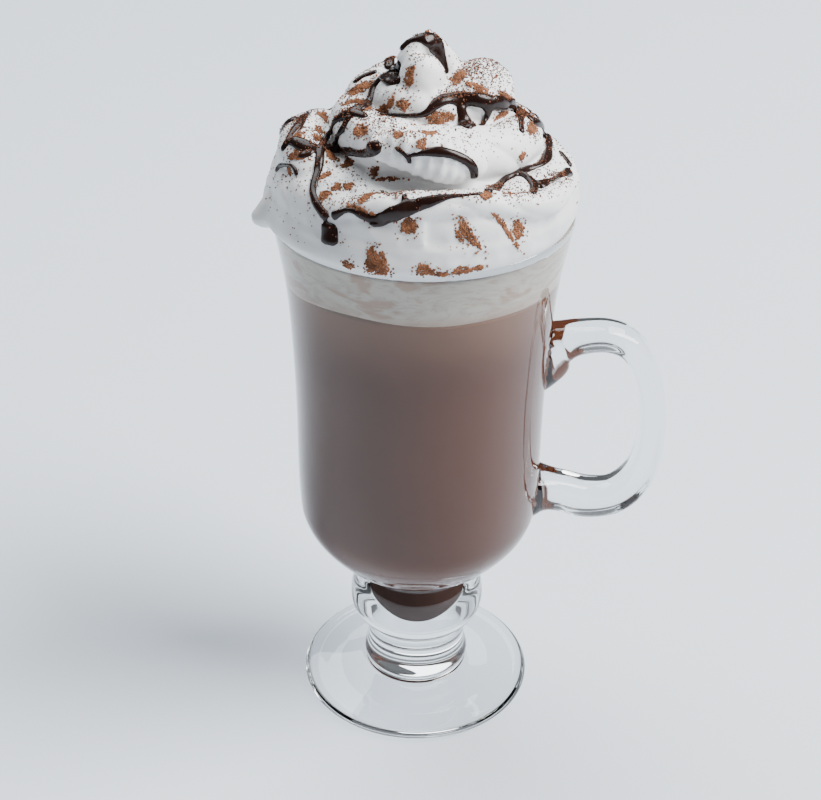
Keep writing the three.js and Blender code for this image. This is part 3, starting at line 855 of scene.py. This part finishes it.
class HOTCHOCOLATE_OT_cream(bpy.types.Operator):
    """Pipe the swirl of whipped cream over the rim"""

    bl_idname = "hot_chocolate.cream"
    bl_label = "Whipped Cream"

    def execute(self, context):
        settings = context.scene.hot_chocolate_cream
        bm = bmesh.new()
        core(bm)
        strand(bm, swirl_matrices(), COIL_SIDES)
        for name, points in LOBES.items():
            strand(bm, lobe_matrices(points, RIBS.get(name, 0)), LOBE_SIDES)
        bmesh.ops.recalc_face_normals(bm, faces=bm.faces)
        material = cream_material(settings)
        cream = new_piece("cream_swirl", bm, material, "whipped_cream")
        finish(cream, [("REMESH", {"mode": "VOXEL", "voxel_size": settings.voxel, "adaptivity": 0.0})])
        bm = bmesh.new()
        bm.from_mesh(cream.data)
        above = [vert for vert in bm.verts if vert.co.z > CREAM_FOOT * MM]
        smooth(bm, above, CREAM_SMOOTHING)
        bm.normal_update()
        for vert in above:
            vert.co += vert.normal * surface_shift(vert.co, settings.folds, settings.creases)
        bm.to_mesh(cream.data)
        bm.free()
        shade_smooth(cream)
        return {"FINISHED"}


# Chocolate sauce

def surface_of(name):
    """Returns a piece's surface, for finding places on it."""
    graph = bpy.context.evaluated_depsgraph_get()
    return BVHTree.FromObject(bpy.data.objects[name], graph)


def nearest(tree, x, y, z):
    """Returns the nearest place on a surface to one in millimetres, and the normal there."""
    point, normal, _, _ = tree.find_nearest(Vector((x, y, z)) * MM)
    if point is None:
        raise RuntimeError("there is no cream to lay the sauce and the cocoa on")
    return point, normal


def sauce_matrices(tree, line, height):
    """Returns the places of a line of sauce, drawn on to the nearest cream."""
    landed = []
    for x, y, z, width in spline(line, LINE_STEPS):
        point, normal = nearest(tree, x, y, z)
        if not landed or (point - landed[-1][0]).length > SAUCE_STEP * MM:
            landed.append((point, normal, width))
    points = [point for point, _, _ in landed]
    matrices = []
    for index, (point, normal, width) in enumerate(landed):
        low, high = max(index - SAUCE_EVENING, 0), min(index + SAUCE_EVENING, len(points) - 1)
        middle = sum(points[low:high + 1], Vector()) / (high + 1 - low)
        along = (points[high] - points[low]).normalized()
        across = normal.cross(along).normalized()
        up = along.cross(across)
        ends = min(index, len(points) - 1 - index)
        taper = min(1, SAUCE_ENDS + SAUCE_SWELL * ends)
        wander = 1 + SAUCE_WANDER * noise.noise(point * 320)
        half_width = SAUCE_SPREAD * width / 2 * MM * taper * wander
        thickness = height * taper * min(1, THINNEST + width / FULL_WIDTH)
        matrices.append(place_matrix(middle, across, up, half_width, thickness))
    return matrices


def sauce_material(settings):
    shader = Shader("chocolate_sauce")
    thin = shader.noise(160, 3.0)
    color = shader.mix(thin.held(0.35, 0.75), settings.color, shade(settings.color, 1.8))
    return shader.finish(
        base_color=color,
        roughness=0.14 + 0.16 * thin,
        specular_ior_level=0.28,
        normal=shader.bump(shader.noise(300, 2.0), 0.2, 0.0002),
    )


class HOTCHOCOLATE_OT_sauce(bpy.types.Operator):
    """Drizzle thick chocolate sauce over the cream"""

    bl_idname = "hot_chocolate.sauce"
    bl_label = "Chocolate Sauce"

    def execute(self, context):
        settings = context.scene.hot_chocolate_sauce
        tree = surface_of("cream_swirl")
        bm = bmesh.new()
        for line in DRIZZLE:
            strand(bm, sauce_matrices(tree, line, settings.height), SAUCE_SIDES)
        bmesh.ops.recalc_face_normals(bm, faces=bm.faces)
        material = sauce_material(settings)
        sauce = new_piece("chocolate_sauce", bm, material, "whipped_cream")
        finish(sauce, [("REMESH", {"mode": "VOXEL", "voxel_size": SAUCE_VOXEL, "adaptivity": 0.0})])
        bm = bmesh.new()
        bm.from_mesh(sauce.data)
        smooth(bm, bm.verts, SAUCE_SMOOTHING)
        bm.to_mesh(sauce.data)
        bm.free()
        shade_smooth(sauce)
        return {"FINISHED"}


# Cocoa powder

COCOA_DRAW = 11  # starts the random draws
GRAIN_BATCH = 40  # grains made together, because a large bmesh is slow
GRAIN_RAISED = 0.25  # share of the half width by which a grain's middle stands over the surface
DUST_REACH = 38  # half the width of the square that grains fall in
DUST_FROM = 205
DUST_LOWEST = 150
DUSTIEST = Vector((15, -4, 182))  # the cocoa lies thickest round here
DUSTY_REACH = 14
EVERYWHERE, DRIFTS = 0.14, 1.5  # likelihood of a grain on level cream, and in drifts
HEAP_GRAINS = 92  # to a square millimetre of half length times half width
LOOSE_SHARE, LOOSE_REACH = 0.12, 1.8  # grains that lie round a heap, and how far out
# Heaps of cocoa as places on the cream, with half length, half width and the lean of the length
# from level in degrees
HEAPS = [
    (-25, 6.7, 168.2, 2.6, 1.2, 0), (-25.2, -4.5, 169.3, 1.5, 0.9, 20),
    (-25.3, -8.8, 168.9, 1.2, 0.8, 0), (-30.3, -7.2, 169, 1.9, 1, 10),
    (-30, -13.1, 166.1, 2.2, 1, 20), (-31.8, -13.5, 162.3, 1.4, 0.7, 0),
    (-14.8, -16.6, 173.9, 1.8, 1.4, 0), (-17.7, -15.3, 165.3, 1.8, 1.2, 90),
    (-21.9, -13.1, 166.1, 1.4, 1.2, 0), (-23, -20.4, 164.2, 1.5, 0.9, 90),
    (-20, -25.5, 163.5, 1, 1, 0), (-17.3, -25.6, 163.8, 1.1, 1, 0),
    (-22.7, -26.7, 162.1, 1.4, 1, 45), (-12.9, -32.2, 164.3, 2.5, 0.8, 90),
    (-13.8, -34.3, 161.4, 3.6, 0.8, -12), (-3.3, -36.9, 159.5, 1.8, 1.6, 90),
    (10.1, -36.1, 157.2, 3.5, 1, -55), (8, -36.4, 156.6, 1.5, 0.5, -60),
    (18.3, -32.6, 157.3, 5.1, 0.5, -62), (21.5, -30.9, 155.9, 2, 1.3, 90),
    (-11.8, -37.7, 150.6, 2.8, 1.3, 90), (-9.6, -38.5, 149.6, 2.9, 1.3, 90),
    (-17.4, -35.8, 148.5, 1.4, 0.9, 0), (0.3, -38.9, 149.2, 1.9, 1.3, -20),
    (3.7, -38.2, 148, 1.9, 0.7, -8), (8.7, -37.4, 148.6, 2.1, 1, 0),
    (12.3, -36.4, 148.9, 1.4, 0.7, 0), (18, -7.1, 174.6, 2.4, 0.9, 0),
    (3.1, -15, 176.4, 3.5, 1.2, 5), (1, -25.4, 177.1, 2, 1.4, 40),
    (-0.9, -29.9, 176, 1.2, 1, 90), (-6, -26.9, 177.1, 1.1, 1, 0),
    (-9.5, -9.9, 176.7, 1.8, 0.8, 30), (-5.2, -13.1, 178.9, 1.4, 1.2, 0),
    (-8, -11.3, 178.8, 1.4, 0.7, 80), (7.6, -4.9, 182.9, 2.9, 1.4, 0),
    (12.8, -10.3, 181, 1.9, 0.9, 10), (-3.8, -10, 184.5, 2.1, 1, 80),
    (-15.7, 1.7, 177.6, 3, 1.2, 50), (-16.9, -3.4, 176, 2.6, 0.9, 50),
    (-13.6, -8.8, 176.6, 1.4, 1, 0), (-11.5, -20.9, 165.7, 1.4, 0.8, 90),
    (22.7, -15, 167.5, 1.2, 0.9, 0), (25.3, -6.1, 171, 2.9, 1.2, -10),
    (13.8, -33.4, 165.5, 1.5, 0.9, 0), (0.4, -1.2, 191.2, 2.6, 1.4, -50),
    (-8.4, -22.8, 164.6, 2.1, 0.4, 5), (18.8, -6.2, 178.8, 2.6, 0.7, -30),
    (11.5, -9.1, 182.1, 1.9, 0.7, -30),
]


def cocoa_material(name, color):
    shader = Shader(name)
    tone = shader.noise(520, 4.0, 0.65)
    mottled = shader.mix(tone.held(0.35, 0.65), shade(color, 0.4), color)
    return shader.finish(base_color=mottled, roughness=0.85 + 0.1 * tone, specular_ior_level=0.2)


def add_grain(bm, point, normal, half_width, draw):
    """Adds one rough grain that sits on the surface."""
    made = bmesh.ops.create_icosphere(bm, subdivisions=1, radius=half_width)
    squash = Matrix.Diagonal((1, draw.uniform(0.6, 1), draw.uniform(0.5, 0.9), 1))
    upright = normal.to_track_quat("Z", "Y").to_matrix().to_4x4()
    turn = upright @ Matrix.Rotation(draw.uniform(0, math.tau), 4, "Z")
    place = Matrix.Translation(point + normal * half_width * GRAIN_RAISED)
    bmesh.ops.transform(bm, matrix=place @ turn @ squash, verts=made["verts"])


def grains_bmesh(places, draw):
    """Returns grains at places given as point, normal and half width, made a few at a time."""
    whole = bmesh.new()
    part = bpy.data.meshes.new("grains")
    for start in range(0, len(places), GRAIN_BATCH):
        bm = bmesh.new()
        for point, normal, half_width in places[start:start + GRAIN_BATCH]:
            add_grain(bm, point, normal, half_width, draw)
        bm.to_mesh(part)
        bm.free()
        whole.from_mesh(part)
    bpy.data.meshes.remove(part)
    return whole


def dusted_places(trees, count, grain, draw):
    """Returns places for fine grains that fell from above, thicker in some parts."""
    places = []
    while len(places) < count:
        across, deep = draw.uniform(-DUST_REACH, DUST_REACH), draw.uniform(-DUST_REACH, DUST_REACH)
        spot = Vector((across, deep, DUST_FROM)) * MM
        hits = [tree.ray_cast(spot, -UP) for tree in trees]
        hits = [hit for hit in hits if hit[0] is not None]
        if not hits:
            continue
        point, normal, _, _ = max(hits, key=lambda hit: hit[0].z)
        drift = noise.noise(point * 90) + 0.5 * noise.noise(point * 240)
        near = max(0.0, 1 - (point - DUSTIEST * MM).length / (DUSTY_REACH * MM))
        likely = min(1, max(0, normal.z)) * (EVERYWHERE + max(0, drift) * DRIFTS + near)
        if point.z > DUST_LOWEST * MM and draw.random() < likely:
            places.append((point, normal, grain * draw.uniform(0.45, 1.15)))
    return places


def heaped_places(tree, grain, draw):
    """Returns places for the grains of the heaps, which have ragged edges."""
    places = []
    for x, y, z, half_length, half_width, lean in HEAPS:
        middle, normal = nearest(tree, x, y, z)
        level = UP.cross(normal).normalized()
        rise = normal.cross(level)
        lean = math.radians(lean)
        long_way = level * math.cos(lean) + rise * math.sin(lean)
        short_way = rise * math.cos(lean) - level * math.sin(lean)
        phase = draw.uniform(0, math.tau)
        for _ in range(round(HEAP_GRAINS * half_length * half_width)):
            angle = draw.uniform(0, math.tau)
            bays = 0.16 * math.sin(3 * angle + phase) + 0.12 * math.sin(8 * angle + 2 * phase)
            loose = LOOSE_REACH if draw.random() < LOOSE_SHARE else 1.0
            reach = draw.random() ** 0.5 * (1.15 + bays) * loose
            shift = long_way * (half_length * math.cos(angle))
            shift += short_way * (half_width * math.sin(angle))
            point, normal = nearest(tree, *(middle / MM + shift * reach))
            places.append((point, normal, grain * draw.uniform(0.7, 1.5)))
    return places


class HOTCHOCOLATE_OT_cocoa(bpy.types.Operator):
    """Dust the cream with cocoa in fine grains and small heaps"""

    bl_idname = "hot_chocolate.cocoa"
    bl_label = "Cocoa Powder"

    def execute(self, context):
        settings = context.scene.hot_chocolate_cocoa
        draw = random.Random(COCOA_DRAW)
        trees = [surface_of(name) for name in ("cream_swirl", "chocolate_sauce")]
        places = dusted_places(trees, settings.grains, settings.grain, draw)
        material = cocoa_material("cocoa_powder", settings.specks)
        powder = new_piece("cocoa_powder", grains_bmesh(places, draw), material, None)
        shade_smooth(powder)
        places = heaped_places(trees[0], settings.grain, draw)
        material = cocoa_material("cocoa_clumps", settings.color)
        heaps = new_piece("cocoa_clumps", grains_bmesh(places, draw), material, None)
        shade_smooth(heaps)
        return {"FINISHED"}


# Floor, lights and camera

def floor_material(settings):
    shader = Shader("painted_floor")
    patches = shader.noise(2.4, 4.0, 0.6)
    color = shader.mix(patches.held(0.3, 0.7), settings.floor, shade(settings.floor, 0.96))
    return shader.finish(base_color=color, roughness=0.55 + 0.1 * patches, specular_ior_level=0.3)


def add_light(name, place, size, power, color):
    """Adds a round soft light that shines on the middle of the mug."""
    data = bpy.data.lights.new(name, "AREA")
    data.shape = "DISK"
    data.size = size
    data.energy = power
    data.color = color
    light = bpy.data.objects.new(name, data)
    bpy.context.scene.collection.objects.link(light)
    light.location = place
    light.rotation_euler = (LIGHTS_AIM - Vector(place)).to_track_quat("-Z", "Y").to_euler()


class HOTCHOCOLATE_OT_stage(bpy.types.Operator):
    """Set the floor, the studio lights and the camera"""

    bl_idname = "hot_chocolate.stage"
    bl_label = "Stage"

    def execute(self, context):
        settings = context.scene.hot_chocolate_stage
        bm = bmesh.new()
        bmesh.ops.create_grid(bm, x_segments=1, y_segments=1, size=FLOOR_HALF)
        bmesh.ops.translate(bm, vec=(0, 0, -FLOOR_GAP), verts=bm.verts)
        floor = new_object("floor", bm)
        floor.data.materials.append(floor_material(settings))

        world = bpy.data.worlds.new("studio")
        context.scene.world = world
        world.use_nodes = True
        background = world.node_tree.nodes["Background"]
        background.inputs["Color"].default_value = (*AIR_COLOR, 1.0)
        background.inputs["Strength"].default_value = settings.fill
        for name, (place, size, share, color) in LIGHTS.items():
            add_light(name, place, size, settings.light * share, color)

        camera = bpy.data.objects.new("camera", bpy.data.cameras.new("camera"))
        context.scene.collection.objects.link(camera)
        camera.data.sensor_width = 36
        camera.data.lens = CAMERA_LENS
        camera.data.clip_start = 0.01
        camera.matrix_world = (
            Matrix.Translation(CAMERA_PLACE)
            @ Matrix.Rotation(math.pi / 2 - CAMERA_TILT, 4, "X")
            @ Matrix.Rotation(CAMERA_ROLL, 4, "Z")
        )
        context.scene.camera = camera
        return {"FINISHED"}


class HOTCHOCOLATE_PT_panel(bpy.types.Panel):
    """Lists the steps and their settings in the sidebar"""

    bl_idname = "HOTCHOCOLATE_PT_panel"
    bl_label = "Hot Chocolate"
    bl_space_type = "VIEW_3D"
    bl_region_type = "UI"
    bl_category = "Hot Chocolate"

    def draw(self, context):
        for operator in OPERATORS:
            self.layout.operator(operator.bl_idname)
        for name, group in SETTINGS.items():
            box = self.layout.box()
            box.label(text=name.replace("_", " ").capitalize())
            for setting in group.__annotations__:
                box.prop(getattr(context.scene, name), setting)


OPERATORS = (
    HOTCHOCOLATE_OT_glass,
    HOTCHOCOLATE_OT_drink,
    HOTCHOCOLATE_OT_cream,
    HOTCHOCOLATE_OT_sauce,
    HOTCHOCOLATE_OT_cocoa,
    HOTCHOCOLATE_OT_stage,
)
CLASSES = (*SETTINGS.values(), *OPERATORS, HOTCHOCOLATE_PT_panel)


def register():
    for made in CLASSES:
        bpy.utils.register_class(made)
    for name, group in SETTINGS.items():
        setattr(bpy.types.Scene, name, bpy.props.PointerProperty(type=group))


def unregister():
    for name in SETTINGS:
        delattr(bpy.types.Scene, name)
    for made in reversed(CLASSES):
        bpy.utils.unregister_class(made)


def main():
    register()
    bpy.ops.hot_chocolate.glass()
    bpy.ops.hot_chocolate.drink()
    bpy.ops.hot_chocolate.cream()
    bpy.ops.hot_chocolate.sauce()
    bpy.ops.hot_chocolate.cocoa()
    bpy.ops.hot_chocolate.stage()


if __name__ == "__main__":
    main()
